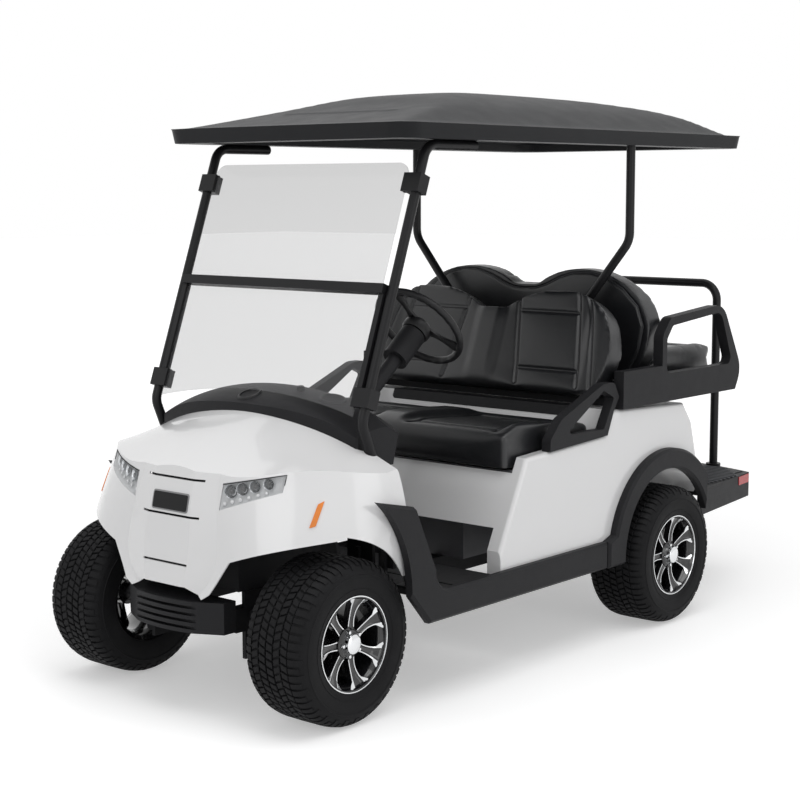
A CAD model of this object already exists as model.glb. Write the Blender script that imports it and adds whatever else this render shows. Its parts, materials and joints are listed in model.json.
# %% [markdown]
# # Dressing a four-seat golf cart
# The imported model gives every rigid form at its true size. This script adds what the eye reads
# next: the finishes, the tread and the wheels, the stitched seats, the lamps and the small
# fittings. Lengths are metres, X points forward, Y to the cart's left and Z up.

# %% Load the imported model
import bmesh
import bpy
import json
import math
from mathutils import Matrix, Vector
from mathutils.bvhtree import BVHTree


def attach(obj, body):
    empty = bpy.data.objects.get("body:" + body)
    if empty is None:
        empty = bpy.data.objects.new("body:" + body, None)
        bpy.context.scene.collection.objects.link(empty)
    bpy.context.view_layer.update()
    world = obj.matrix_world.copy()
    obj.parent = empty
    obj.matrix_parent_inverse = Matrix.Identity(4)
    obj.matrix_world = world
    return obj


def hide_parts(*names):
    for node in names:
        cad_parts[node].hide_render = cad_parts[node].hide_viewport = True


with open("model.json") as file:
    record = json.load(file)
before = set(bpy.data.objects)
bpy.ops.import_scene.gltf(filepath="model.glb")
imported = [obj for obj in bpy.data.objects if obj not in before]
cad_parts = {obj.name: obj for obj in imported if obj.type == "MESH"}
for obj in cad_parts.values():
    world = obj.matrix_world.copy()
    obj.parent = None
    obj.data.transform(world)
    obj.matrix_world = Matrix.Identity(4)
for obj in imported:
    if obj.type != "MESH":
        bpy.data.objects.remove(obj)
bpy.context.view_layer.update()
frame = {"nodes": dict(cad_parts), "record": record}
nodes = frame["nodes"]
print(len(nodes), "rigid pieces loaded")

# %% [markdown]
# ## Where things are
# The axles and the four wheels' middles are the places that most pieces are measured from. A
# setback is how far something lies behind the front axle, as a cart builder would tape it.

# %% Axles and wheels
FRONT_AXLE = 1.149
REAR_AXLE = -0.515
HUB_HEIGHT = 0.254
WHEELS = {
    "front_left": (FRONT_AXLE, 0.455, 1),
    "front_right": (FRONT_AXLE, -0.455, -1),
    "rear_left": (REAR_AXLE, 0.541, 1),
    "rear_right": (REAR_AXLE, -0.541, -1),
}


def behind(setback):
    return FRONT_AXLE - setback


print("wheelbase", round(FRONT_AXLE - REAR_AXLE, 3), "m")

# %% [markdown]
# ## The camera
# The camera stands where the photographer stood, ahead of the cart and well to its left, and looks
# down by seven degrees. Its place and its lens were found by fitting the wheels, the roof and the
# ground line of the model to the picture. A long lens keeps the near wheel from looking swollen.

# %% Camera
CAMERA_PLACE = (4.72236, 3.79116, 1.59749)
CAMERA_YAW = 3.84702
CAMERA_PITCH = -0.12697
CAMERA_ROLL = -0.001787
CAMERA_LENS = 75.03


def aim_axes(yaw, pitch, roll):
    """Right, up and backwards for a camera that looks along a yaw and a pitch."""
    ahead = Vector((math.cos(yaw) * math.cos(pitch), math.sin(yaw) * math.cos(pitch), math.sin(pitch)))
    level = Vector((math.sin(yaw), -math.cos(yaw), 0))
    square = level.cross(ahead)
    right = level * math.cos(roll) + square * math.sin(roll)
    up = square * math.cos(roll) - level * math.sin(roll)
    return right, up, -ahead


lens = bpy.data.cameras.new("camera")
lens.lens, lens.sensor_width, lens.clip_end = CAMERA_LENS, 36, 100
lens.shift_x, lens.shift_y = -0.0025, 0.0009
camera = bpy.data.objects.new("camera", lens)
camera.matrix_world = Matrix(aim_axes(CAMERA_YAW, CAMERA_PITCH, CAMERA_ROLL)).transposed().to_4x4()
camera.location = CAMERA_PLACE
bpy.context.scene.collection.objects.link(camera)
bpy.context.scene.camera = camera
print("camera", round(Vector(CAMERA_PLACE).length, 2), "m from the middle of the cart")

# %% [markdown]
# ## Effects that finishes share
# Real plastic, paint and vinyl are never one even colour: moulding, handling and light dirt shift
# the tone and the gloss a little from place to place. Two node groups carry that. The first drifts
# a colour and a roughness. The second raises a fine grain for a bump. Both read a point in the
# cart's own space, so neighbouring pieces get different patches and nothing slides in other views.

# %% Node groups
def new_group(name, takes, gives):
    """A shader group with named sockets, each given as (name, kind, value)."""
    group = bpy.data.node_groups.new(name, "ShaderNodeTree")
    for label, kind, value in takes:
        socket = group.interface.new_socket(label, in_out="INPUT", socket_type="NodeSocket" + kind)
        if value is not None:
            socket.default_value = value
    for label, kind in gives:
        group.interface.new_socket(label, in_out="OUTPUT", socket_type="NodeSocket" + kind)
    return group, group.nodes.new("NodeGroupInput").outputs, group.nodes.new("NodeGroupOutput").inputs


def add_math(tree, operation, first, second):
    item = tree.nodes.new("ShaderNodeMath")
    item.operation = operation
    for socket, value in zip(item.inputs, (first, second)):
        if isinstance(value, (int, float)):
            socket.default_value = value
        else:
            tree.links.new(value, socket)
    return item.outputs[0]


def add_noise(tree, vector, scale, detail):
    item = tree.nodes.new("ShaderNodeTexNoise")
    item.inputs["Detail"].default_value = detail
    tree.links.new(vector, item.inputs["Vector"])
    if isinstance(scale, (int, float)):
        item.inputs["Scale"].default_value = scale
    else:
        tree.links.new(scale, item.inputs["Scale"])
    return item.outputs["Fac"]


def make_drift():
    group, takes, gives = new_group(
        "tone_drift",
        [("Vector", "Vector", None), ("Color", "Color", (0.5, 0.5, 0.5, 1)),
         ("Color Drift", "Float", 0.1), ("Roughness", "Float", 0.5),
         ("Roughness Drift", "Float", 0.05), ("Patch Scale", "Float", 6.0)],
        [("Color", "Color"), ("Roughness", "Float")])
    slow = add_noise(group, takes["Vector"], takes["Patch Scale"], 3.0)
    swing = add_math(group, "MULTIPLY", add_math(group, "SUBTRACT", slow, 0.5), 3.0)
    value = add_math(group, "ADD", add_math(group, "MULTIPLY", swing, takes["Color Drift"]), 1.0)
    shade = group.nodes.new("ShaderNodeHueSaturation")
    group.links.new(value, shade.inputs["Value"])
    group.links.new(takes["Color"], shade.inputs["Color"])
    group.links.new(shade.outputs["Color"], gives["Color"])
    quick = add_noise(group, takes["Vector"], add_math(group, "MULTIPLY", takes["Patch Scale"], 5.0), 4.0)
    lift = add_math(group, "MULTIPLY", add_math(group, "SUBTRACT", quick, 0.5), 3.0)
    rough = add_math(group, "ADD", add_math(group, "MULTIPLY", lift, takes["Roughness Drift"]),
                     takes["Roughness"])
    group.links.new(add_math(group, "MAXIMUM", rough, 0.02), gives["Roughness"])
    return group


def make_grain():
    group, takes, gives = new_group(
        "fine_grain",
        [("Vector", "Vector", None), ("Grain Scale", "Float", 500.0), ("Pebble", "Float", 0.5)],
        [("Height", "Float")])
    speck = add_noise(group, takes["Vector"], takes["Grain Scale"], 2.0)
    cells = group.nodes.new("ShaderNodeTexVoronoi")
    cells.feature = "SMOOTH_F1"
    group.links.new(takes["Vector"], cells.inputs["Vector"])
    group.links.new(takes["Grain Scale"], cells.inputs["Scale"])
    pebble = add_math(group, "MULTIPLY", cells.outputs["Distance"], takes["Pebble"])
    group.links.new(add_math(group, "SUBTRACT", speck, pebble), gives["Height"])
    return group


TONE_DRIFT = make_drift()
FINE_GRAIN = make_grain()
print("groups:", TONE_DRIFT.name, FINE_GRAIN.name)

# %% [markdown]
# ## Finishes
# Each finish is one Principled shader fed by the two groups. Moulded trim is rough with a strong
# grain, powder coat is smoother with a finer one, and the body is gloss paint under a clear coat.
# Colours are linear values read off the real thing: black plastic is never fully black.

# %% A finish
def use_group(tree, group, vector, **values):
    item = tree.nodes.new("ShaderNodeGroup")
    item.node_tree = group
    tree.links.new(vector, item.inputs["Vector"])
    for label, value in values.items():
        item.inputs[label.replace("_", " ")].default_value = value
    return item.outputs


def blank_material(name):
    material = bpy.data.materials.new(name)
    material.use_nodes = True
    tree = material.node_tree
    coords = tree.nodes.new("ShaderNodeTexCoord")
    return material, tree, tree.nodes["Principled BSDF"], coords.outputs["Object"]


def finish(name, color, rough, metal=0.0, drift=0.1, rough_drift=0.04, patch=6.0, grain=None, pebble=0.3,
           coat=0.0, shine=0.5):
    """An opaque finish. grain is (cells in a metre, height in metres)."""
    material, tree, shader, place = blank_material(name)
    tone = use_group(tree, TONE_DRIFT, place, Color=(*color, 1), Color_Drift=drift, Roughness=rough,
                     Roughness_Drift=rough_drift, Patch_Scale=patch)
    tree.links.new(tone["Color"], shader.inputs["Base Color"])
    tree.links.new(tone["Roughness"], shader.inputs["Roughness"])
    shader.inputs["Metallic"].default_value = metal
    shader.inputs["Coat Weight"].default_value = coat
    shader.inputs["Coat Roughness"].default_value = 0.05
    shader.inputs["Specular IOR Level"].default_value = shine
    if grain:
        height = use_group(tree, FINE_GRAIN, place, Grain_Scale=grain[0], Pebble=pebble)["Height"]
        bump = tree.nodes.new("ShaderNodeBump")
        bump.inputs["Strength"].default_value = 0.7
        bump.inputs["Distance"].default_value = grain[1]
        tree.links.new(height, bump.inputs["Height"])
        tree.links.new(bump.outputs["Normal"], shader.inputs["Normal"])
    return material


def see_through(name, color, face_on, edge_on, rough=0.03):
    """A tinted pane: how much it hides is set face on and edge on."""
    material, tree, shader, place = blank_material(name)
    tone = use_group(tree, TONE_DRIFT, place, Color=(*color, 1), Color_Drift=0.02, Roughness=rough,
                     Roughness_Drift=0.01, Patch_Scale=2.0)
    tree.links.new(tone["Color"], shader.inputs["Base Color"])
    tree.links.new(tone["Roughness"], shader.inputs["Roughness"])
    facing = tree.nodes.new("ShaderNodeLayerWeight")
    facing.inputs["Blend"].default_value = 0.25
    span = tree.nodes.new("ShaderNodeMapRange")
    span.inputs["To Min"].default_value = face_on
    span.inputs["To Max"].default_value = edge_on
    tree.links.new(facing.outputs["Facing"], span.inputs["Value"])
    tree.links.new(span.outputs["Result"], shader.inputs["Alpha"])
    return material


print("finish makers ready")

# %% The record's sixteen finishes
LOOKS = {
    "white_body": finish("white_body", (0.72, 0.72, 0.725), 0.22, drift=0.008, rough_drift=0.02,
                         patch=1.5, coat=0.6),
    "black_trim": finish("black_trim", (0.014, 0.014, 0.0155), 0.50, drift=0.12,
                         grain=(900, 0.0005), shine=0.15),
    "roof_black": finish("roof_black", (0.013, 0.0135, 0.015), 0.46, drift=0.08, patch=2.5,
                         grain=(620, 0.0003), shine=0.13),
    "powder_black": finish("powder_black", (0.010, 0.010, 0.011), 0.34, drift=0.15,
                           grain=(800, 0.0002), shine=0.2),
    "chassis_black": finish("chassis_black", (0.008, 0.008, 0.009), 0.55, drift=0.25, patch=12,
                            grain=(300, 0.0003), shine=0.12),
    "cast_dark": finish("cast_dark", (0.060, 0.060, 0.064), 0.52, metal=0.8, drift=0.2,
                        grain=(260, 0.0008)),
    "spring_steel": finish("spring_steel", (0.16, 0.16, 0.165), 0.38, metal=1.0, drift=0.15, patch=20),
    "vinyl_black": finish("vinyl_black", (0.010, 0.0105, 0.012), 0.33, drift=0.10, rough_drift=0.05,
                          patch=9, grain=(420, 0.0005), pebble=0.7, shine=0.55),
    "tyre_black": finish("tyre_black", (0.009, 0.009, 0.0098), 0.60, drift=0.2, patch=14,
                         grain=(350, 0.0004), shine=0.11),
    "rim_black": finish("rim_black", (0.007, 0.007, 0.008), 0.14, drift=0.15, rough_drift=0.02, coat=0.5),
    "floor_mat": finish("floor_mat", (0.015, 0.015, 0.016), 0.60, drift=0.2, grain=(600, 0.0006),
                        pebble=0.8, shine=0.25),
    "screen_clear": see_through("screen_clear", (0.17, 0.17, 0.175), 0.17, 0.45),
    "lamp_clear": see_through("lamp_clear", (0.62, 0.63, 0.64), 0.06, 0.35),
    "lamp_red": finish("lamp_red", (0.45, 0.008, 0.012), 0.20, drift=0.12, coat=0.2, patch=25, shine=0.3),
    "battery_case": finish("battery_case", (0.05, 0.05, 0.055), 0.5, drift=0.2, grain=(400, 0.0004)),
    "grip_black": finish("grip_black", (0.010, 0.010, 0.011), 0.40, drift=0.15, grain=(500, 0.0005),
                         pebble=0.6, shine=0.3),
}
print(len(LOOKS), "finishes for the record's slots")

# %% Finishes of small fittings
BRIGHT = finish("machined_bright", (0.74, 0.75, 0.76), 0.14, metal=1.0, drift=0.04, rough_drift=0.05,
                patch=30)
REFLECTOR = finish("lamp_reflector", (0.62, 0.64, 0.66), 0.16, metal=1.0, drift=0.08, patch=40)
LAMP_FRAME = finish("lamp_frame", (0.60, 0.61, 0.62), 0.30, drift=0.05, patch=20)
LAMP_DARK = finish("lamp_dark", (0.022, 0.023, 0.025), 0.12, drift=0.15, coat=0.6, patch=30)
LED_WHITE = finish("led_white", (0.80, 0.81, 0.82), 0.2, drift=0.04, patch=60)
AMBER = finish("amber_lens", (0.72, 0.20, 0.015), 0.22, drift=0.10, coat=0.5, patch=30)
PLATE = finish("badge_blank", (0.006, 0.006, 0.0065), 0.38, drift=0.1, shine=0.2)
PLATE_RIM = finish("badge_rim", (0.22, 0.22, 0.225), 0.3, metal=0.6, drift=0.06)
THREAD = finish("seam_thread", (0.030, 0.031, 0.034), 0.42, drift=0.2, patch=80, shine=0.4)
STEP_GREY = finish("step_grey", (0.078, 0.081, 0.087), 0.6, drift=0.12, grain=(420, 0.0006), pebble=0.8,
                   shine=0.25)
print("small fittings have their own finishes")

# %% Finishes on the rigid pieces
part_slots = {row["node"]: row["material_slot"] for row in frame["record"]["subparts"]}
for name, obj in nodes.items():
    for slot in obj.material_slots:
        slot.link = "OBJECT"
        slot.material = LOOKS[part_slots[name]]
print(len(part_slots), "rigid pieces painted")

# %% [markdown]
# ## From a working mesh to a piece
# Every added piece is shaped in a bmesh, in a handy frame of its own, and then moved to its place
# on the cart. Settling it closes the seams, turns the faces outwards and hangs the piece on the
# rigid body that carries it, so that it moves with the joints.

# %% Settle a piece
def new_object(name, mesh):
    obj = bpy.data.objects.new(name, mesh)
    bpy.context.scene.collection.objects.link(obj)
    return obj


def settle(name, bm, look, body, crease=35, weld=0.00002):
    """Finish a bmesh as a piece that rides on a body and takes a slot's finish."""
    if weld:
        bmesh.ops.remove_doubles(bm, verts=bm.verts, dist=weld)
    bmesh.ops.recalc_face_normals(bm, faces=bm.faces)
    mesh = bpy.data.meshes.new(name)
    bm.to_mesh(mesh)
    bm.free()
    mesh.materials.append(look)
    mesh.shade_smooth()
    mesh.set_sharp_from_angle(angle=math.radians(crease))
    obj = new_object(name, mesh)
    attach(obj, body)
    return obj


def frame_at(centre, outward, across=(1, 0, 0)):
    """A matrix whose Z points outward from a centre, with X as near to across as it can be."""
    z = Vector(outward).normalized()
    x = (Vector(across) - z * z.dot(Vector(across))).normalized()
    return Matrix.Translation(Vector(centre)) @ Matrix((x, z.cross(x), z)).transposed().to_4x4()


def new_verts(made):
    """The vertices in what an operator says it made."""
    return [item for item in made if isinstance(item, bmesh.types.BMVert)]


def thicken(bm, faces, move):
    """Extrude faces and shift the new side, which turns a sheet into a solid."""
    made = bmesh.ops.extrude_face_region(bm, geom=faces)["geom"]
    bmesh.ops.translate(bm, vec=move, verts=new_verts(made))


def wheel_frame(name):
    x, y, side = WHEELS[name]
    return frame_at((x, y, HUB_HEIGHT), (0, side, 0))


def spin_profile(bm, profile, steps, closed=False):
    """Turn a line of (radius, height) points once round Z."""
    verts = [bm.verts.new((radius, 0, height)) for radius, height in profile]
    edges = [bm.edges.new(pair) for pair in zip(verts, verts[1:])]
    if closed:
        edges.append(bm.edges.new((verts[-1], verts[0])))
    bmesh.ops.spin(bm, geom=verts + edges, cent=(0, 0, 0), axis=(0, 0, 1), angle=2 * math.pi,
                   steps=steps, use_merge=True)


def copies_round(bm, count):
    """Repeat all that a bmesh holds evenly round Z."""
    step = 2 * math.pi / count
    bmesh.ops.spin(bm, geom=bm.verts[:] + bm.edges[:] + bm.faces[:], cent=(0, 0, 0), axis=(0, 0, 1),
                   angle=step * (count - 1), steps=count - 1, use_duplicate=True)


def along_stations(stations, share):
    """A row of a table, blended between its two nearest stations."""
    place = share * (len(stations) - 1)
    first = min(int(place), len(stations) - 2)
    blend = place - first
    return [a + (b - a) * blend for a, b in zip(stations[first], stations[first + 1])]


print("piece helpers ready")

# %% [markdown]
# ## Tyres
# A turf and trail tyre is a smooth casing with rubber blocks moulded on. The casing is one closed
# section spun round the axle. Each row of tread is one bevelled block, sheared a little and copied
# round; neighbouring rows are set off by half a block. The shoulder lugs bend over the casing's
# edge, so they start as a longer block that follows two curves, its bed and its top.

# %% Tyre casing
CASING = [(0.1473, 0.1065), (0.1500, 0.1078), (0.1560, 0.1100), (0.1700, 0.1140), (0.1860, 0.1165),
          (0.2000, 0.1170), (0.2060, 0.1166), (0.2070, 0.1180), (0.2110, 0.1180), (0.2120, 0.1158),
          (0.2220, 0.1130), (0.2320, 0.1085), (0.2400, 0.1010), (0.2450, 0.0910), (0.2468, 0.0750),
          (0.2475, 0.0400), (0.2475, 0.0000)]
BEAD_RING = [(0.1640, 0.1120), (0.1655, 0.1142), (0.1685, 0.1150), (0.1700, 0.1130)]
TREAD_PITCHES = 64
TREAD_ROWS = [(0.0, 0.024, 0.30, 0.0), (0.029, 0.024, -0.40, 0.5), (-0.029, 0.024, 0.40, 0.5),
              (0.058, 0.024, 0.35, 0.1), (-0.058, 0.024, -0.35, 0.1)]
TREAD_TOP = 0.2540
TREAD_DROP = 0.126
BLOCK_DEPTH = 0.008
BLOCK_CHAMFER = 0.0016
# a block takes this share of its pitch, and the groove takes the rest
BLOCK_SHARE = 0.74


def tread_row(bm, centre, width, shear, shift):
    """One ring of blocks: a cube made block-sized, chamfered on top, sheared and copied."""
    pitch = 2 * math.pi * TREAD_TOP / TREAD_PITCHES
    block = bmesh.ops.create_cube(bm, size=1.0)["verts"]
    bmesh.ops.scale(bm, vec=(BLOCK_DEPTH, pitch * BLOCK_SHARE, width), verts=block)
    top = [edge for edge in {e for v in block for e in v.link_edges}
           if all(vert.co.x > 0 for vert in edge.verts)]
    bmesh.ops.bevel(bm, geom=top, offset=BLOCK_CHAMFER, offset_type="OFFSET", segments=1,
                    profile=0.5, affect="EDGES", material=-1)
    for vert in bm.verts:
        vert.co.y += shear * vert.co.z
        vert.co.z += centre
        vert.co.x += TREAD_TOP - BLOCK_DEPTH / 2 - TREAD_DROP * vert.co.z ** 2
    bm.transform(Matrix.Rotation(2 * math.pi * shift / TREAD_PITCHES, 4, "Z"))
    copies_round(bm, TREAD_PITCHES)


LUG_TOP = [(0.2530, 0.0740), (0.2500, 0.0900), (0.2445, 0.1005), (0.2370, 0.1080), (0.2270, 0.1132)]
LUG_BED = [(0.2455, 0.0740), (0.2440, 0.0885), (0.2390, 0.0975), (0.2320, 0.1040), (0.2240, 0.1105)]


def shoulder_lugs(bm, side, reach, width, shift, pitches):
    """Lugs that start on the tread and bend over the casing's edge."""
    lug = bmesh.ops.create_cube(bm, size=1.0)["verts"]
    long_edges = [edge for edge in {e for v in lug for e in v.link_edges}
                  if abs(edge.verts[0].co.z - edge.verts[1].co.z) > 0.5]
    bmesh.ops.subdivide_edges(bm, edges=long_edges, cuts=3, use_grid_fill=True)
    for vert in bm.verts:
        share = (vert.co.z + 0.5) * reach
        bed, top = along_stations(LUG_BED, share), along_stations(LUG_TOP, share)
        radius, height = (top if vert.co.x > 0 else bed)
        spread = vert.co.y * width
        vert.co = (radius * math.cos(spread), radius * math.sin(spread), side * height)
    bm.transform(Matrix.Rotation(2 * math.pi * shift / TREAD_PITCHES, 4, "Z"))
    copies_round(bm, pitches)


def bmesh_piece(build, *details):
    """A separate bmesh holding what one builder makes, so that its checks see nothing else."""
    bm = bmesh.new()
    build(bm, *details)
    return bm


def pour(bm, extra):
    """Add one bmesh to another."""
    mesh = bpy.data.meshes.new("pour")
    extra.to_mesh(mesh)
    extra.free()
    bm.from_mesh(mesh)
    bpy.data.meshes.remove(mesh)


def tyre(name):
    bm = bmesh.new()
    casing = CASING + [(radius, -height) for radius, height in reversed(CASING[:-1])]
    pour(bm, bmesh_piece(spin_profile, casing, 128, True))
    pour(bm, bmesh_piece(spin_profile, BEAD_RING, 128, True))
    for row in TREAD_ROWS:
        pour(bm, bmesh_piece(tread_row, *row))
    half = TREAD_PITCHES // 2
    for side in (1, -1):
        start = 0.25 if side > 0 else 0.75
        pour(bm, bmesh_piece(shoulder_lugs, side, 1.0, 0.072, start, half))
        pour(bm, bmesh_piece(shoulder_lugs, side, 0.7, 0.060, start + 1, half))
    bm.transform(wheel_frame(name))
    obj = settle(name + "_tread", bm, LOOKS["tyre_black"], name + "_wheel", crease=40)
    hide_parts(name + "_tyre")
    return obj


for name in WHEELS:
    made = tyre(name)
print("each tyre has", len(made.data.polygons), "faces")

# %% [markdown]
# ## Wheels
# A cast wheel, painted gloss black and then cut bright on a lathe and a mill. The barrel and the
# hub are spun. A spoke starts as a small grid whose edges stand proud of its middle, and is pulled
# down to give it depth. Only what the cutter touched is bright: two lines along each spoke, the
# wedges where the spokes meet the lip, and the lip itself.

# %% Wheel castings
BARREL = [(0.1465, 0.1070), (0.1430, 0.1078), (0.1400, 0.1060), (0.1370, 0.0960), (0.1320, 0.0880),
          (0.1280, 0.0800), (0.1250, 0.0300), (0.1240, -0.0700), (0.1300, -0.0930), (0.1465, -0.1070),
          (0.1465, -0.0980), (0.1290, -0.0850), (0.1285, 0.0700), (0.1330, 0.0900), (0.1465, 0.0985)]
HUB = [(0.0180, 0.0050), (0.0420, 0.0050), (0.0440, 0.0500), (0.0480, 0.0700), (0.0460, 0.0830),
       (0.0400, 0.0880), (0.0330, 0.0880), (0.0180, 0.0860)]
SPOKES = 7
# radius, half width and height of a spoke's face
SPOKE = [(0.040, 0.0150, 0.0835), (0.056, 0.0125, 0.0805), (0.074, 0.0115, 0.0795),
         (0.094, 0.0130, 0.0815), (0.112, 0.0170, 0.0860), (0.1345, 0.0270, 0.0985)]
SPOKE_DEPTH = 0.022
POCKET_DEPTH = 0.0050
# the bright cuts stand this far above the paint, and are this thick
CUT_PROUD, CUT_DEPTH = 0.0008, 0.0012


def spoke_point(share, across, lift=0.0):
    radius, half, height = along_stations(SPOKE, share)
    angle = math.atan2(across * half, radius)
    far = math.hypot(radius, across * half)
    return Vector((far * math.cos(angle), far * math.sin(angle), height + lift))


def spoke_beam(bm):
    bmesh.ops.create_grid(bm, x_segments=10, y_segments=10, size=1.0)
    for vert in bm.verts:
        share, across = (vert.co.x + 1) / 2, vert.co.y
        edge = min(max((abs(across) - 0.55) / 0.2, 0), 1)
        vert.co = spoke_point(share, across, POCKET_DEPTH * (edge - 1))
    thicken(bm, bm.faces[:], (0, 0, -SPOKE_DEPTH))
    copies_round(bm, SPOKES)


def cut_strip(bm, side, inner, outer, start, stop):
    """A bright face along one edge of a spoke, a hair above the paint."""
    bmesh.ops.create_grid(bm, x_segments=9, y_segments=1, size=1.0)
    for vert in bm.verts:
        share = start + (stop - start) * (vert.co.x + 1) / 2
        across = inner if vert.co.y < 0 else outer
        vert.co = spoke_point(share, across * side, CUT_PROUD)
    thicken(bm, bm.faces[:], (0, 0, -CUT_DEPTH))
    copies_round(bm, SPOKES)


def lip_wedge(bm, side):
    """The bright wedge where a spoke's edge runs out into the lip."""
    corners = [(0.1150, 0.0150, 0.0885), (0.1320, 0.0235, 0.0985), (0.1372, 0.0400, 0.1040),
               (0.1330, 0.0405, 0.1000), (0.1255, 0.0300, 0.0930)]
    verts = [bm.verts.new((radius, side * across, height)) for radius, across, height in corners]
    face = bmesh.ops.contextual_create(bm, geom=verts)["faces"]
    thicken(bm, face, (0.002, 0, -0.004))
    copies_round(bm, SPOKES)


def wheel_casting(name):
    bm = bmesh.new()
    pour(bm, bmesh_piece(spin_profile, BARREL, 112, True))
    pour(bm, bmesh_piece(spin_profile, HUB, 64, True))
    pour(bm, bmesh_piece(spoke_beam))
    bm.transform(wheel_frame(name))
    obj = settle(name + "_spokes", bm, LOOKS["rim_black"], name + "_wheel", crease=30)
    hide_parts(name + "_rim")
    return obj


for name in WHEELS:
    made = wheel_casting(name)
print("each casting has", len(made.data.polygons), "faces")

# %% Bright cuts, cap and nuts
LIP_RING = [(0.1425, 0.1072), (0.1465, 0.1072), (0.1463, 0.1092), (0.1432, 0.1094)]
CAP = [(0.0310, 0.0860), (0.0310, 0.1000), (0.0295, 0.1060), (0.0250, 0.1090), (0.0120, 0.1100),
       (0.0, 0.1102)]
NUTS = 5


def wheel_nuts(bm):
    bmesh.ops.create_cone(bm, cap_ends=True, segments=6, radius1=0.0058, radius2=0.0058, depth=0.016)
    bmesh.ops.bevel(bm, geom=[e for e in bm.edges if all(v.co.z > 0 for v in e.verts)],
                    offset=0.0012, offset_type="OFFSET", segments=2, profile=0.5, affect="EDGES",
                    material=-1)
    bmesh.ops.translate(bm, vec=(0.0385, 0, 0.0925), verts=bm.verts)
    copies_round(bm, NUTS)


def wheel_brightwork(name):
    bm = bmesh.new()
    pour(bm, bmesh_piece(spin_profile, LIP_RING, 112, True))
    pour(bm, bmesh_piece(spin_profile, CAP, 48))
    for side in (1, -1):
        pour(bm, bmesh_piece(cut_strip, side, 0.76, 1.0, 0.12, 1.0))
        pour(bm, bmesh_piece(lip_wedge, side))
    pour(bm, bmesh_piece(wheel_nuts))
    bm.transform(wheel_frame(name))
    return settle(name + "_brightwork", bm, BRIGHT, name + "_wheel", crease=30)


for name in WHEELS:
    made = wheel_brightwork(name)
print("brightwork faces on a wheel:", len(made.data.polygons))

# %% [markdown]
# ## Roof
# The roof is one vacuum-formed skin: an upright rim, a ledge, and a crown that falls to all four
# sides with soft hips at the corners. One fine grid is enough for it. Each point's height comes
# from the lowest of three side profiles, blended where two meet, which is what draws the hips. The
# rim is then pulled down from the grid's edge and turned in underneath.

# %% Roof crown
ROOF_FRONT, ROOF_REAR = behind(0.243), behind(2.345)
ROOF_HALF_WIDTH = 0.550
ROOF_CORNER = 0.075
# how far the crown is drawn in from its outline, so that the rim can slope outwards below it
RIM_SLOPE = 0.009
# every side passes through the same heights, each at its own distances in from the edge
FALL_HEIGHTS = (1.7950, 1.8010, 1.8680, 1.9140, 1.9340, 1.9400)
SIDE_FALL = list(zip((0.0, 0.060, 0.190, 0.330, 0.440, 0.550), FALL_HEIGHTS))
FRONT_FALL = list(zip((0.0, 0.060, 0.409, 0.606, 0.860, 1.20), FALL_HEIGHTS))
REAR_FALL = list(zip((0.0, 0.060, 0.187, 0.480, 0.857, 1.20), FALL_HEIGHTS))
HIP_BLEND = 0.010


def height_on(profile, inset):
    """A curved run through a profile's points."""
    inset = min(max(inset, profile[0][0]), profile[-1][0])
    index = max(i for i in range(len(profile) - 1) if profile[i][0] <= inset)
    (x0, z0), (x1, z1) = profile[index], profile[index + 1]
    slope = [(b[1] - a[1]) / (b[0] - a[0]) for a, b in zip(profile, profile[1:])]
    first = (slope[max(index - 1, 0)] + slope[index]) / 2 if index > 1 else slope[index]
    last = (slope[index] + slope[min(index + 1, len(slope) - 1)]) / 2
    run, share = x1 - x0, (inset - x0) / (x1 - x0)
    turn = (first - slope[index]) * (1 - share) + (slope[index] - last) * share
    return z0 + (z1 - z0) * share + share * (1 - share) * run * turn


def blended_low(values, blend):
    """The lowest of some values, with its corners rounded."""
    low = min(values)
    return low - blend * math.log(sum(math.exp((low - value) / blend) for value in values)) / 1.6


def round_corner(along, across, length, width, radius):
    """Pull a point of a square corner in onto a round one."""
    dx, dy = abs(along) - (length - radius), abs(across) - (width - radius)
    if dx <= 0 or dy <= 0:
        return along, across
    p, q = dx / radius, dy / radius
    rx, ry = p * math.sqrt(1 - q * q / 2) * radius, q * math.sqrt(1 - p * p / 2) * radius
    return (math.copysign(length - radius + rx, along), math.copysign(width - radius + ry, across))


def roof_height(x, y):
    side, front, rear = ROOF_HALF_WIDTH - abs(y), ROOF_FRONT - x, x - ROOF_REAR
    heights = [height_on(SIDE_FALL, side), height_on(FRONT_FALL, front), height_on(REAR_FALL, rear)]
    share = min(max(min(side, front, rear) / 0.10, 0.0), 1.0)
    return min(heights) * (1 - share) + blended_low(heights, HIP_BLEND) * share


def even_spread(share):
    """Grid lines drawn closer together near the rim."""
    return math.sin(share * math.pi / 2) * 0.55 + share * 0.45


def roof_skin():
    bm = bmesh.new()
    bmesh.ops.create_grid(bm, x_segments=72, y_segments=44, size=1.0)
    middle, half_length = (ROOF_FRONT + ROOF_REAR) / 2, (ROOF_FRONT - ROOF_REAR) / 2
    for vert in bm.verts:
        x, y = even_spread(vert.co.x) * half_length, even_spread(vert.co.y) * ROOF_HALF_WIDTH
        x, y = round_corner(x, y, half_length, ROOF_HALF_WIDTH, ROOF_CORNER)
        draft = 1 - RIM_SLOPE / ROOF_HALF_WIDTH
        vert.co = (middle + x * draft, y * draft, roof_height(middle + x, y))
    return bm


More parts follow.
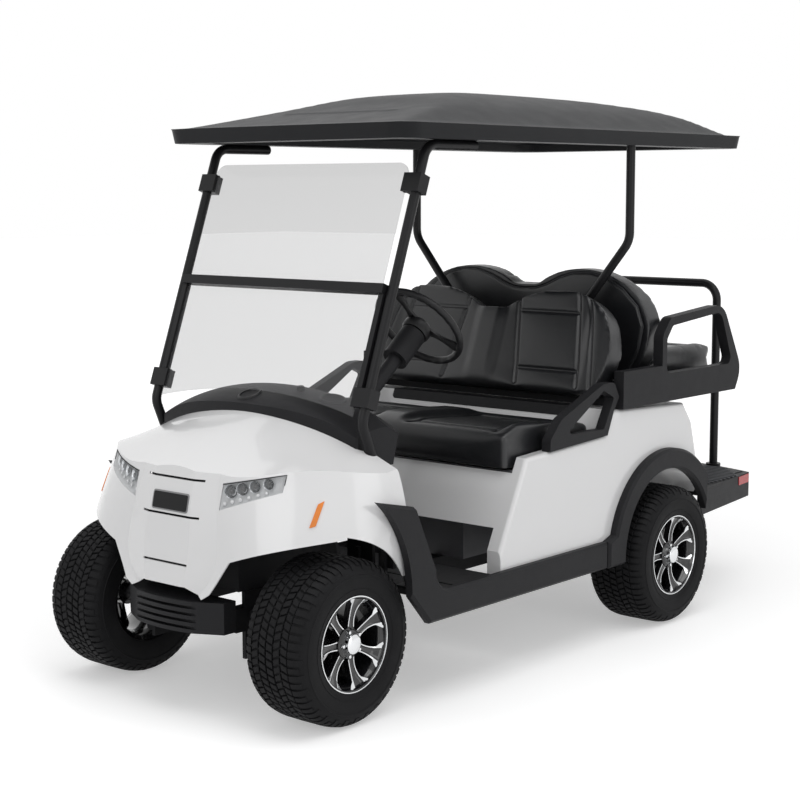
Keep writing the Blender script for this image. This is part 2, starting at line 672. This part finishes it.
def pull_edge(bm, edges, move, shrink):
    """Extrude an open edge loop, move it and draw it in towards the roof's middle."""
    made = bmesh.ops.extrude_edge_only(bm, edges=edges)["geom"]
    centre = Vector(((ROOF_FRONT + ROOF_REAR) / 2, 0, 0))
    for vert in new_verts(made):
        away = vert.co - centre
        vert.co.x -= math.copysign(shrink, away.x) * min(abs(away.x) / 0.9, 1)
        vert.co.y -= math.copysign(shrink, away.y) * min(abs(away.y) / 0.45, 1)
        vert.co.z += move
    return [item for item in made if isinstance(item, bmesh.types.BMEdge)]


bm = roof_skin()
rim = [edge for edge in bm.edges if edge.is_boundary]
# each pull takes the rim's edge up by the first number and draws it in by the second
RIM_PULLS = [(-0.004, -0.002), (-0.040, -0.006), (-0.004, 0.001), (0.0, 0.100), (0.030, 0.004),
             (0.016, 0.060), (0.055, 0.120)]
for move, shrink in RIM_PULLS:
    rim = pull_edge(bm, rim, move, shrink)
bmesh.ops.edgeloop_fill(bm, edges=rim)
roof = settle("roof_skin", bm, LOOKS["roof_black"], "chassis", crease=38)
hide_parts("roof")
print("roof skin", len(roof.data.polygons), "faces")

# %% [markdown]
# ## Steering wheel
# A soft-grip rim on three flat spokes, with a padded hub. The rim is a circle of points spun into a
# ring; finger swells on its underside come from moving the points in and out as they go round.

# %% Steering wheel
STEERING_CENTRE = (behind(0.684), 0.240, 1.139)
STEERING_TILT = math.radians(39 - 90)
STEERING_RADIUS = 0.155
GRIP_RADIUS = 0.0125


def grip_ring(bm):
    section = bmesh.ops.create_circle(bm, segments=16, radius=GRIP_RADIUS)["verts"]
    bmesh.ops.rotate(bm, verts=section, cent=(0, 0, 0), matrix=Matrix.Rotation(math.pi / 2, 3, "X"))
    bmesh.ops.translate(bm, verts=section, vec=(STEERING_RADIUS, 0, 0))
    bmesh.ops.spin(bm, geom=bm.verts[:] + bm.edges[:], cent=(0, 0, 0), axis=(0, 0, 1),
                   angle=2 * math.pi, steps=120, use_merge=True)
    for vert in bm.verts:
        angle = math.atan2(vert.co.y, vert.co.x)
        ring = Vector((math.cos(angle), math.sin(angle), 0)) * STEERING_RADIUS
        below = max(-(vert.co.z) / GRIP_RADIUS, 0)
        vert.co = ring + (vert.co - ring) * (1 + 0.07 * below * math.cos(24 * angle))


def flat_spoke(bm):
    bmesh.ops.create_grid(bm, x_segments=8, y_segments=4, size=1.0)
    for vert in bm.verts:
        share, across = (vert.co.x + 1) / 2, vert.co.y
        half = 0.020 - 0.010 * math.sin(math.pi * min(share * 1.1, 1))
        height = 0.004 - 0.010 * share + 0.002 * (1 - across ** 2)
        vert.co = (0.030 + share * 0.118, across * half, height)
    thicken(bm, bm.faces[:], (0, 0, -0.008))
    copies_round(bm, 3)


HUB_PAD = [(0.0, 0.0125), (0.018, 0.0120), (0.030, 0.0095), (0.034, 0.0075), (0.036, 0.0080),
           (0.046, 0.0040), (0.0505, -0.0040), (0.0500, -0.0240), (0.0450, -0.0340), (0.0, -0.0340)]
bm = bmesh.new()
pour(bm, bmesh_piece(grip_ring))
pour(bm, bmesh_piece(flat_spoke))
pour(bm, bmesh_piece(spin_profile, HUB_PAD, 48))
bm.transform(Matrix.Translation(STEERING_CENTRE) @ Matrix.Rotation(STEERING_TILT, 4, "Y"))
steering = settle("steering_grip", bm, LOOKS["grip_black"], "steering_wheel", crease=40)
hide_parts("steering_wheel")
print("steering wheel", len(steering.data.polygons), "faces")

# %% [markdown]
# ## Padded seats
# A cart seat is a foam block under stretched vinyl. Where the cover is sewn, the seam is pulled
# down to the board, and the foam crowns between the seams. So each cushion starts as a copy of its
# rigid form, meshed evenly and drawn in a little. A short cloth simulation blows it up while the
# seam lines stay pinned. Narrow grooves are pressed in afterwards, because the even mesh is too
# coarse to hold them before it is subdivided, and a raised welt is laid along the outer seams.

# %% Cushion blanks
VOXEL = 0.008
DRAWN_IN = 0.009
EASING_PASSES = 6


def applied(obj):
    """Replace an object's mesh by what its modifiers make of it."""
    graph = bpy.context.evaluated_depsgraph_get()
    mesh = bpy.data.meshes.new_from_object(obj.evaluated_get(graph))
    obj.modifiers.clear()
    obj.data = mesh
    return obj


def blank(name, node):
    """An evenly meshed, slightly smaller copy of a rigid cushion with its corners eased."""
    bm = bmesh.new()
    bm.from_mesh(nodes[node].data)
    bmesh.ops.remove_doubles(bm, verts=bm.verts, dist=0.0001)
    mesh = bpy.data.meshes.new(name)
    bm.to_mesh(mesh)
    bm.free()
    obj = new_object(name, mesh)
    remesh = obj.modifiers.new("even", "REMESH")
    remesh.mode, remesh.voxel_size = "VOXEL", VOXEL
    applied(obj)
    bm = bmesh.new()
    bm.from_mesh(obj.data)
    for _ in range(EASING_PASSES):
        bmesh.ops.smooth_vert(bm, verts=bm.verts, factor=0.5, use_axis_x=True, use_axis_y=True,
                              use_axis_z=True)
    bm.normal_update()
    for vert in bm.verts:
        vert.co -= vert.normal * DRAWN_IN
    bm.to_mesh(obj.data)
    bm.free()
    return obj


def distance_to_line(u, v, line):
    """How far a point of the cushion's face lies from a line of (u, v) points."""
    best = 1.0
    for (u0, v0), (u1, v1) in zip(line, line[1:]):
        du, dv = u1 - u0, v1 - v0
        share = ((u - u0) * du + (v - v0) * dv) / (du * du + dv * dv)
        share = min(max(share, 0.0), 1.0)
        best = min(best, math.hypot(u - u0 - du * share, v - v0 - dv * share))
    return best


print("voxel", VOXEL * 1000, "mm")

# %% Swelling under pressure
SWELL_FRAMES = 20
SWELL_CAP = 0.026
SWELL_PRESSURE = 5.0


def swell(obj, pinned):
    """Blow a cushion up with cloth, holding the points that pinned() names, and cap the move."""
    start = [vert.co.copy() for vert in obj.data.vertices]
    group = obj.vertex_groups.new(name="sewn")
    for index, co in enumerate(start):
        hold = pinned(co)
        if hold > 0:
            group.add([index], hold, "REPLACE")
    cloth = obj.modifiers.new("swell", "CLOTH")
    cloth.settings.vertex_group_mass = "sewn"
    cloth.settings.use_pressure = True
    cloth.settings.uniform_pressure_force = SWELL_PRESSURE
    cloth.settings.effector_weights.gravity = 0
    cloth.settings.quality = 4
    scene = bpy.context.scene
    for number in range(1, SWELL_FRAMES + 1):
        scene.frame_set(number)
    applied(obj)
    scene.frame_set(1)
    for vert, co in zip(obj.data.vertices, start):
        move = vert.co - co
        if move.length > SWELL_CAP:
            vert.co = co + move.normalized() * SWELL_CAP
    return obj


print("pressure runs for", SWELL_FRAMES, "frames")

# %% Seams, grooves and welts
def face_frame(origin, up, out):
    """Maps a point to (across, up the cushion's face, above the face)."""
    origin, up, out = Vector(origin), Vector(up).normalized(), Vector(out).normalized()

    def measure(co):
        away = co - origin
        return co.y, away.dot(up), away.dot(out)

    def place(u, v, w):
        return origin + up * v + out * w + Vector((0, u, 0))
    return measure, place


def both_sides(lines):
    return lines + [[(-u, v) for u, v in line] for line in lines]


def press_grooves(obj, measure, lines, depth=0.0075, width=0.0065, floor=-0.06):
    """Push the surface in along the seams, on the part of the cushion above floor."""
    bm = bmesh.new()
    bm.from_mesh(obj.data)
    bm.normal_update()
    moves = []
    for vert in bm.verts:
        u, v, w = measure(vert.co)
        if w > floor:
            near = min(distance_to_line(u, v, line) for line in lines)
            if near < width * 3:
                moves.append((vert, vert.normal * depth * math.exp(-(near / width) ** 2)))
    for vert, move in moves:
        vert.co -= move
    bm.to_mesh(obj.data)
    bm.free()


def eased(value):
    value = min(max(value, 0.0), 1.0)
    return value * value * (3 - 2 * value)


def raise_bolsters(obj, measure, out, inner, outer, rise, dip, length):
    """Lift the padding beside each place to sit and sink the place itself, fading at the ends."""
    for vert in obj.data.vertices:
        u, v, w = measure(vert.co)
        beside = max(eased((abs(u) - outer) / 0.05), eased((inner - abs(u)) / 0.05))
        fade = eased((v - 0.01) / 0.09) * eased((length - v) / 0.09) * eased((w + 0.06) / 0.04)
        vert.co += Vector(out) * (rise * beside - dip * (1 - beside)) * fade


def surface_of(obj):
    """A piece's surface, ready to have rays cast on to it."""
    return BVHTree.FromPolygons([vert.co for vert in obj.data.vertices],
                                [tuple(face.vertices) for face in obj.data.polygons])


DROP_FROM, DROP_REACH = 0.12, 0.3


def lay_on(obj, place, line, out, spacing=0.012):
    """Points along a line, dropped on to a surface from outside."""
    surface, points = surface_of(obj), []
    for (u0, v0), (u1, v1) in zip(line, line[1:]):
        steps = max(int(math.hypot(u1 - u0, v1 - v0) / spacing), 1)
        for step in range(steps):
            share = step / steps
            start = place(u0 + (u1 - u0) * share, v0 + (v1 - v0) * share, DROP_FROM)
            found = surface.ray_cast(start, -Vector(out), DROP_REACH)[0]
            if found is not None:
                points.append(found)
    return points


def cord_mesh(runs, radius, sides=3):
    """Round cords along runs of points, as one mesh made from a bevelled curve."""
    curve = bpy.data.curves.new("cord", "CURVE")
    curve.dimensions, curve.bevel_depth, curve.bevel_resolution = "3D", radius, sides
    curve.use_fill_caps = True
    for points in runs:
        spline = curve.splines.new("POLY")
        spline.points.add(len(points) - 1)
        for target, co in zip(spline.points, points):
            target.co = (*co, 1)
    holder = new_object("cord", curve)
    mesh = bpy.data.meshes.new_from_object(holder.evaluated_get(bpy.context.evaluated_depsgraph_get()))
    bpy.data.objects.remove(holder)
    bpy.data.curves.remove(curve)
    bm = bmesh.new()
    bm.from_mesh(mesh)
    bpy.data.meshes.remove(mesh)
    return bm


WELT_RADIUS = 0.0024


def upholster(name, node, body, measure, place, out, seams, welts, pinned, bolsters):
    """One cushion: blank, swell, subdivide, bolsters, grooves, then its welts as their own piece."""
    obj = blank(name, node)
    swell(obj, pinned)
    smooth = obj.modifiers.new("smooth", "SUBSURF")
    smooth.levels = smooth.render_levels = 1
    applied(obj)
    raise_bolsters(obj, measure, out, **bolsters)
    press_grooves(obj, measure, seams)
    obj.data.materials.clear()
    obj.data.materials.append(LOOKS["vinyl_black"])
    obj.data.shade_smooth()
    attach(obj, body)
    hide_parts(node)
    runs = [lay_on(obj, place, line, out) for line in welts]
    bm = cord_mesh([run for run in runs if len(run) > 2], WELT_RADIUS)
    settle(name + "_welt", bm, THREAD, body)
    return obj


print("upholstery helpers ready")

# %% Front seat back
RECLINE = math.radians(19.5)
FRONT_BACK_UP = (-math.sin(RECLINE), 0, math.cos(RECLINE))
FRONT_BACK_OUT = (math.cos(RECLINE), 0, math.sin(RECLINE))
BACK_PANEL = [(0.110, 0.364), (0.114, 0.352), (0.138, 0.215), (0.162, 0.086), (0.172, 0.030)]
BACK_FLANK = [(0.378, 0.368), (0.382, 0.352), (0.408, 0.215), (0.431, 0.086), (0.441, 0.030)]
BACK_CHANNELS = [[(0.122, 0.303), (0.391, 0.303)], [(0.162, 0.088), (0.431, 0.088)]]
BACK_WELT = [(0.418, 0.372), (0.432, 0.340), (0.452, 0.290), (0.465, 0.241), (0.482, 0.150),
             (0.492, 0.090), (0.499, 0.030)]
SEWN_REACH = 0.009


def sewn(u, v, seams):
    return min(distance_to_line(u, v, line) for line in seams) < SEWN_REACH


def back_pins(measure, seams, thickness):
    """Sewn lines are held down, and the board behind hardly moves."""
    def pinned(co):
        u, v, w = measure(co)
        if w < -thickness * 0.72:
            return 0.85
        if w > -0.045 and sewn(u, v, seams):
            return 1.0
        return 0.35 if abs(u) > 0.53 else 0.0
    return pinned


measure, place = face_frame((behind(1.292), 0, 0.868), FRONT_BACK_UP, FRONT_BACK_OUT)
seams = both_sides([BACK_PANEL, BACK_FLANK, BACK_WELT] + BACK_CHANNELS)
front_back = upholster("front_back_cover", "front_seat_back", "chassis", measure, place, FRONT_BACK_OUT,
                       seams, both_sides([BACK_WELT]), back_pins(measure, seams, thickness=0.092),
                       dict(inner=0.08, outer=0.42, rise=0.007, dip=0.005, length=0.40))
print("front back", len(front_back.data.polygons), "faces")

# %% Front seat cushion
CUSHION_PANEL = [(0.110, 0.078), (0.452, 0.078), (0.470, 0.200), (0.462, 0.420), (0.120, 0.420),
                 (0.098, 0.240), (0.110, 0.078)]
CUSHION_WELT = [(0.474, 0.046), (0.452, 0.078), (0.470, 0.200), (0.462, 0.420)]
CUSHION_INNER_WELT = [(0.092, 0.046), (0.110, 0.078), (0.098, 0.240), (0.120, 0.420)]
CUSHION_FLANKS = [[(0.452, 0.078), (0.474, 0.046)], [(0.110, 0.078), (0.092, 0.046)]]


def cushion_pins(measure, seams, depth):
    """Sewn lines are held down, and so is the board that the cushion is built on."""
    def pinned(co):
        u, v, w = measure(co)
        if w < -depth:
            return 1.0
        if w > -0.05 and sewn(u, v, seams):
            return 1.0
        return 0.5 if abs(u) > 0.50 else 0.0
    return pinned


UP = (0, 0, 1)
measure, place = face_frame((behind(0.760), 0, 0.814), (-1, 0, 0), UP)
seams = both_sides([CUSHION_PANEL] + CUSHION_FLANKS)
front_cushion = upholster("front_cushion_cover", "front_seat_cushion", "seat_lid", measure, place, UP,
                          seams, both_sides([CUSHION_WELT, CUSHION_INNER_WELT]),
                          cushion_pins(measure, seams, depth=0.120),
                          dict(inner=0.09, outer=0.46, rise=0.012, dip=0.007, length=0.50))
print("front cushion", len(front_cushion.data.polygons), "faces")

# %% Rear seat back and cushion
REAR_PANEL = [(0.105, 0.352), (0.125, 0.215), (0.150, 0.090), (0.420, 0.090), (0.400, 0.215),
              (0.372, 0.358), (0.240, 0.368), (0.105, 0.352)]
REAR_CHANNELS = [[(0.112, 0.320), (0.382, 0.320)], [(0.118, 0.292), (0.388, 0.292)]]
BOARD_WELT = [(0.470, 0.020), (0.512, 0.100), (0.530, 0.190), (0.505, 0.262), (0.440, 0.325),
              (0.370, 0.362), (0.300, 0.378), (0.225, 0.376), (0.160, 0.356), (0.100, 0.328),
              (0.050, 0.313), (0.0, 0.310)]

measure, place = face_frame((behind(1.696), 0, 0.905), UP, (-1, 0, 0))
seams = both_sides([REAR_PANEL] + REAR_CHANNELS)
rear_back = upholster("rear_back_cover", "rear_seat_back", "chassis", measure, place, (-1, 0, 0), seams,
                      both_sides([REAR_PANEL[:-1]]), back_pins(measure, seams, thickness=0.096),
                      dict(inner=0.08, outer=0.41, rise=0.006, dip=0.004, length=0.40))
measure, place = face_frame((behind(1.600), 0, 0.905), UP, (1, 0, 0))
press_grooves(rear_back, measure, both_sides([BOARD_WELT]), depth=0.004, width=0.005, floor=-0.03)
runs = [lay_on(rear_back, place, line, (1, 0, 0)) for line in both_sides([BOARD_WELT])]
settle("rear_back_board_welt", cord_mesh(runs, radius=0.0028), THREAD, "chassis")

REAR_CUSHION_PANEL = [(0.100, 0.085), (0.420, 0.085), (0.435, 0.200), (0.425, 0.400), (0.110, 0.400),
                      (0.092, 0.240), (0.100, 0.085)]
REAR_CUSHION_WELT = [(0.440, 0.050), (0.420, 0.085), (0.435, 0.200), (0.425, 0.400)]
REAR_FLANKS = [[(0.420, 0.085), (0.440, 0.050)], [(0.100, 0.085), (0.085, 0.050)]]
measure, place = face_frame((behind(2.168), 0, 0.998), (1, 0, 0), UP)
seams = both_sides([REAR_CUSHION_PANEL] + REAR_FLANKS)
rear_cushion = upholster("rear_cushion_cover", "rear_seat_cushion", "chassis", measure, place, UP, seams,
                         both_sides([REAR_CUSHION_WELT]), cushion_pins(measure, seams, depth=0.110),
                         dict(inner=0.08, outer=0.43, rise=0.010, dip=0.006, length=0.46))
print("rear back", len(rear_back.data.polygons), "faces, rear cushion", len(rear_cushion.data.polygons))

# %% [markdown]
# ## Headlights
# Each lamp is a clear cover over a pale housing. The cover is the rigid piece itself, made see
# through. The housing is a copy of it, sunk a little, with its front face inset and pushed back to
# leave a rim. Four projector bowls stand in the upper row and six small LEDs in the lower one, and
# a dark gasket runs along the cover's upper edge. Rays cast on to the cover find where each one
# sits, so they follow the nose's curve.

# %% Lamp housings
LAMP_OUT = {1: Vector((0.88, 0.45, 0.12)).normalized(), -1: Vector((0.88, -0.45, 0.12)).normalized()}
LAMP_RIM = 0.006
LAMP_HOLLOW = 0.013


def lamp_tray():
    bm = bmesh.new()
    bm.from_mesh(nodes["headlights"].data)
    bmesh.ops.remove_doubles(bm, verts=bm.verts, dist=0.00005)
    bmesh.ops.dissolve_limit(bm, angle_limit=math.radians(3), verts=bm.verts, edges=bm.edges)
    for side, out in LAMP_OUT.items():
        front = [face for face in bm.faces if face.calc_center_median().y * side > 0
                 and face.normal.dot(out) > 0.75]
        bmesh.ops.inset_region(bm, faces=front, thickness=LAMP_RIM, depth=-LAMP_HOLLOW,
                               use_boundary=True, use_even_offset=True)
    for vert in bm.verts:
        vert.co -= LAMP_OUT[1 if vert.co.y > 0 else -1] * 0.0015
    return bm


tray = settle("lamp_housing", lamp_tray(), LAMP_FRAME, "chassis", crease=30)
print("lamp housing", len(tray.data.polygons), "faces")

# %% Projectors and LEDs
cover = surface_of(nodes["headlights"])
BOWL = [(0.0135, 0.0), (0.0140, 0.0010), (0.0125, -0.0008), (0.0095, -0.0055), (0.0055, -0.0070)]
LENS = [(0.0070, -0.0060), (0.0066, -0.0030), (0.0045, -0.0008), (0.0, 0.0004)]
LED = [(0.0062, -0.0010), (0.0055, 0.0006), (0.0032, 0.0022), (0.0, 0.0028)]
# y, lower edge and upper edge of a lamp at its inner and its outer end
LAMP_ENDS = [(0.190, 0.640, 0.720), (0.384, 0.706, 0.758)]
BACKWARD = Vector((-1, 0, 0))
AHEAD_OF_NOSE = 2.0


def on_lamp(side, along, up, depth):
    """A frame under the cover at shares along and up one lamp."""
    y, low, high = along_stations(LAMP_ENDS, along)
    z = low + (high - low) * up
    hit = cover.ray_cast(Vector((AHEAD_OF_NOSE, y * side, z)), BACKWARD)[0]
    return frame_at(hit - LAMP_OUT[side] * depth, LAMP_OUT[side], (0, 0, 1))


def lamp_row(profile, places, up, depth, scale):
    bm = bmesh.new()
    for side in LAMP_OUT:
        for along in places:
            one = bmesh_piece(spin_profile, profile, 28)
            size = scale * (1.15 - 0.35 * along)
            one.transform(on_lamp(side, along, up, depth) @ Matrix.Scale(size, 4))
            pour(bm, one)
    return bm


GASKET = [(step / 12, 0.96) for step in range(13)] + [(1.0, 0.7), (1.0, 0.4)]
UPPER = (0.17, 0.37, 0.57, 0.77)
LOWER = (0.08, 0.22, 0.36, 0.50, 0.64, 0.76)
LAMP_ROWS = [
    ("lamp_bowls", REFLECTOR, (BOWL, UPPER, 0.64, 0.0045, 1.32)),
    ("lamp_lenses", LAMP_DARK, (LENS, UPPER, 0.64, 0.0040, 1.50)),
    ("lamp_leds", LED_WHITE, (LED, LOWER, 0.20, 0.0095, 0.9)),
]
for name, look, row in LAMP_ROWS:
    made = settle(name, lamp_row(*row), look, "chassis", crease=60)
gaskets = [[on_lamp(side, *spot, 0.0).translation for spot in GASKET] for side in LAMP_OUT]
settle("lamp_gaskets", cord_mesh(gaskets, radius=0.0013), LOOKS["chassis_black"], "chassis")
print("LEDs", len(made.data.polygons), "faces, gaskets", len(gaskets))

# %% [markdown]
# ## Badge place, side markers, covers and reflectors
# These are thin plates that follow a curved skin. Each starts as a flat outline with its corners
# rounded, gets a grid of cuts so that it can bend, is dropped on to the skin along one direction,
# and is pulled out to its thickness. The badge place is left blank. The nose's upper slot has open
# air behind it, so it gets a dark backing, and a dark cover closes the body behind the front seat.

# %% Plates that follow the skin
def corner_points(points, radius, bm):
    verts = [bm.verts.new(co) for co in points]
    bmesh.ops.contextual_create(bm, geom=verts)
    bmesh.ops.bevel(bm, geom=verts, offset=radius, offset_type="OFFSET", segments=5, profile=0.5,
                    affect="VERTICES", material=-1)


CAST_FROM = 0.2


def plate_on(points, radius, surface, along, lift, thickness, cuts=8):
    """A plate with rounded corners, laid on a surface by moving it along a direction."""
    bm, along = bmesh.new(), Vector(along).normalized()
    corner_points(points, radius, bm)
    across = (Vector(points[1]) - Vector(points[0])).normalized()
    up = along.cross(across)
    for way in (across, up):
        reach = [vert.co.dot(way) for vert in bm.verts]
        for cut in range(1, cuts):
            mark = min(reach) + (max(reach) - min(reach)) * cut / cuts
            bmesh.ops.bisect_plane(bm, geom=bm.verts[:] + bm.edges[:] + bm.faces[:], dist=0.00001,
                                   plane_co=way * mark, plane_no=way)
    for vert in bm.verts:
        hit = surface.ray_cast(vert.co - along * CAST_FROM, along)[0]
        if hit is not None:
            vert.co = hit - along * lift
    thicken(bm, bm.faces[:], -along * thickness)
    return bm


cowl = surface_of(nodes["front_cowl"])


def badge_outline(half, low, high):
    return [(1.40, -half, low), (1.40, half, low), (1.40, half, high), (1.40, -half, high)]


settle("badge_rim",
       plate_on(badge_outline(0.080, 0.6205, 0.6785), 0.008, cowl, BACKWARD, lift=-0.0010,
                thickness=0.0032),
       PLATE_RIM, "chassis", crease=40)
# height of the upper slot, and half the backing's width and height
SLOT_HEIGHT = 0.720
BACKING = (0.128, 0.016)
BACKING_DEPTH = 0.011


def slot_backing(bm):
    """The dark wall behind the upper slot in the nose, bent like the nose."""
    bmesh.ops.create_grid(bm, x_segments=12, y_segments=1, size=1.0)
    for vert in bm.verts:
        y, z = vert.co.x * BACKING[0], SLOT_HEIGHT + vert.co.y * BACKING[1]
        nose = cowl.ray_cast(Vector((AHEAD_OF_NOSE, y, z)), BACKWARD)[0]
        vert.co = nose - Vector((BACKING_DEPTH, 0, 0))
    thicken(bm, bm.faces[:], (-0.003, 0, 0))


settle("slot_backing", bmesh_piece(slot_backing), LOOKS["chassis_black"], "chassis")
badge = settle("badge_blank",
               plate_on(badge_outline(0.0755, 0.6248, 0.6742), 0.006, cowl, BACKWARD, lift=0.0005,
                        thickness=0.0030),
               PLATE, "chassis", crease=40)
MARKER = [(0.1225, 0.6095), (0.0950, 0.6090), (0.0560, 0.6790), (0.0836, 0.6750)]
bm = bmesh.new()
for side in (1, -1):
    inward = Vector((-0.66, -0.69 * side, -0.30)).normalized()
    corners = [Vector((1.1265 + reach, 0.475 * side, z)) - inward * 0.10 for reach, z in MARKER]
    pour(bm, plate_on(corners, 0.003, cowl, inward, lift=-0.0006, thickness=0.0036, cuts=5))
marker = settle("side_markers", bm, AMBER, "chassis", crease=40)
print("badge", len(badge.data.polygons), "faces, markers", len(marker.data.polygons))

# %% Cover behind the front seat
body_top = surface_of(nodes["rear_body"])
COVER = [(-0.150, -0.41, 0.792), (-0.150, 0.41, 0.792), (-0.236, 0.41, 0.828), (-0.236, -0.41, 0.828)]
made = settle("rear_body_cover",
              plate_on(COVER, 0.012, body_top, (-0.6, 0, -0.8), lift=0.0006, thickness=0.003, cuts=14),
              LOOKS["black_trim"], "chassis", crease=40)
print("cover behind the front seat", len(made.data.polygons), "faces")

# %% Step tread and reflectors
STEP_TOP = 0.446
RIBS, RIB_PITCH, RIB_HALF = 15, 0.0315, 0.53
# the step narrows behind this rib, by so much each side for each rib
LAST_FULL_RIB, RIB_TAPER = 10, 0.030
step = surface_of(nodes["rear_step"])


def step_ribs(bm):
    """Raised bars across the step's mat, with their upper edges rounded."""
    for number in range(RIBS):
        x = behind(2.020) - number * RIB_PITCH
        half = RIB_HALF - RIB_TAPER * max(number - LAST_FULL_RIB, 0)
        bar = bmesh.ops.create_cube(bm, size=1.0)["verts"]
        bmesh.ops.scale(bm, verts=bar, vec=(0.013, half * 2, 0.004))
        bmesh.ops.translate(bm, verts=bar, vec=(x, 0, STEP_TOP + 0.0012))
    upper = [edge for edge in bm.edges if all(vert.co.z > STEP_TOP + 0.002 for vert in edge.verts)]
    bmesh.ops.bevel(bm, geom=upper, offset=0.0014, offset_type="OFFSET", segments=2, profile=0.5,
                    affect="EDGES", material=-1)


ribs = settle("step_ribs", bmesh_piece(step_ribs), STEP_GREY, "chassis", crease=40)
bm = bmesh.new()
for side in (1, -1):
    inward = Vector((0.13, -0.99 * side, 0))
    centre = Vector((behind(2.408), 0.518 * side, 0.421))
    across, rise = Vector((0.99, 0.13 * side, 0)) * 0.053, Vector((0, 0, 0.017))
    corners = [centre - across - rise, centre + across - rise, centre + across + rise,
               centre - across + rise]
    pour(bm, plate_on([co - inward * 0.1 for co in corners], 0.003, step, inward, lift=-0.0005,
                      thickness=0.0030, cuts=4))
reflect = settle("step_reflectors", bm, LOOKS["lamp_red"], "chassis", crease=40)
print("step ribs", len(ribs.data.polygons), "faces, reflectors", len(reflect.data.polygons))

# %% [markdown]
# ## Dash fittings
# The dash top has two cup places and a small knob. Each is a spun profile, set square to the
# surface below it. The wells are dark discs inside the rings, because the dash itself is closed.

# %% Cup rings and knob
dash = surface_of(nodes["dash"])
RING = [(0.040, -0.003), (0.040, 0.0030), (0.0425, 0.0052), (0.0470, 0.0050), (0.0500, 0.0020),
        (0.0510, -0.003)]
WELL = [(0.0405, 0.0015), (0.030, 0.0008), (0.0, 0.0006)]
KNOB = [(0.012, -0.004), (0.012, 0.010), (0.0105, 0.013), (0.0, 0.0138)]


def set_on(surface, x, y, profile, steps, size=1.0):
    hit, normal, _, _ = surface.ray_cast(Vector((x, y, 1.6)), Vector((0, 0, -1)))
    one = bmesh_piece(spin_profile, profile, steps)
    one.transform(frame_at(hit, normal) @ Matrix.Scale(size, 4))
    return one


rings, wells = bmesh.new(), bmesh.new()
for x, y, size in ((0.900, 0.250, 0.86), (0.990, -0.030, 0.80)):
    pour(rings, set_on(dash, x, y, RING, 64, size))
    pour(wells, set_on(dash, x, y, WELL, 48, size))
pour(rings, set_on(dash, 0.905, 0.115, KNOB, 32))
rings = settle("cup_rings", rings, LOOKS["grip_black"], "chassis", crease=35)
settle("cup_wells", wells, LOOKS["chassis_black"], "chassis", crease=35)
print("cup rings", len(rings.data.polygons), "faces")

# %% [markdown]
# ## Studio
# The cart stands on a pale floor under one broad soft light, with weaker ones from the camera's
# side and from the left, so that the front and the flank aren't dull. The white surround is a matter
# of what the camera sees and not of more light. Rays from the camera, or off gloss or through glass,
# find a floor that glows a little and a plain white world. For the light itself the floor doesn't
# glow and the world is about half as bright, so the paint keeps its shading and the floor its shadow.

# %% Floor and surround
# the floor's glow grows from near to far between these distances from the cart's middle
GLOW_STARTS, GLOW_FULL = 1.5, 7.0
NEAR_GLOW, FAR_GLOW = 0.38, 0.60
WORLD_LIGHT = 0.55


def seen_directly(tree):
    """One for rays from the camera, off gloss or through glass, and zero for light itself."""
    path = tree.nodes.new("ShaderNodeLightPath").outputs
    some = add_math(tree, "MAXIMUM", path["Is Camera Ray"], path["Is Glossy Ray"])
    return add_math(tree, "MAXIMUM", some, path["Is Transmission Ray"])


floor_white = finish("floor_white", (0.80, 0.80, 0.802), 0.65, drift=0.006, patch=0.6)
tree = floor_white.node_tree
shader = tree.nodes["Principled BSDF"]
shader.inputs["Emission Color"].default_value = (1, 1, 1, 1)
reach = tree.nodes.new("ShaderNodeVectorMath")
reach.operation = "LENGTH"
tree.links.new(tree.nodes["Texture Coordinate"].outputs["Object"], reach.inputs[0])
glow = tree.nodes.new("ShaderNodeMapRange")
glow.interpolation_type = "SMOOTHSTEP"
for label, value in (("From Min", GLOW_STARTS), ("From Max", GLOW_FULL), ("To Min", NEAR_GLOW),
                     ("To Max", FAR_GLOW)):
    glow.inputs[label].default_value = value
tree.links.new(reach.outputs["Value"], glow.inputs["Value"])
tree.links.new(add_math(tree, "MULTIPLY", seen_directly(tree), glow.outputs["Result"]),
               shader.inputs["Emission Strength"])

bm = bmesh.new()
bmesh.ops.create_grid(bm, x_segments=4, y_segments=4, size=40)
mesh = bpy.data.meshes.new("floor")
bm.to_mesh(mesh)
bm.free()
mesh.materials.append(floor_white)
new_object("floor", mesh)

world = bpy.data.worlds.new("studio")
world.use_nodes = True
tree = world.node_tree
background = tree.nodes["Background"]
background.inputs["Color"].default_value = (1, 1, 1, 1)
seen = seen_directly(tree)
hidden = add_math(tree, "MULTIPLY", add_math(tree, "SUBTRACT", 1.0, seen), WORLD_LIGHT)
tree.links.new(add_math(tree, "ADD", seen, hidden), background.inputs["Strength"])
bpy.context.scene.world = world
bpy.context.scene.view_settings.view_transform = "Standard"
print("floor and white surround set")

# %% Soft lights
def soft_light(name, place, aim, width, depth, power):
    data = bpy.data.lights.new(name, "AREA")
    data.shape, data.size, data.size_y, data.energy = "RECTANGLE", width, depth, power
    light = bpy.data.objects.new(name, data)
    light.matrix_world = frame_at(place, Vector(place) - Vector(aim), (0, 1, 0))
    bpy.context.scene.collection.objects.link(light)
    return light


soft_light("overhead", (0.8, 0.9, 4.6), (0.1, 0, 0.6), 4.5, 3.5, 105)
soft_light("camera_side", (5.2, 1.0, 2.4), (0.3, 0, 0.7), 2.6, 2.2, 26)
soft_light("left_side", (0.4, 5.4, 2.0), (0, 0, 0.8), 3.4, 2.0, 30)
print("three soft lights")
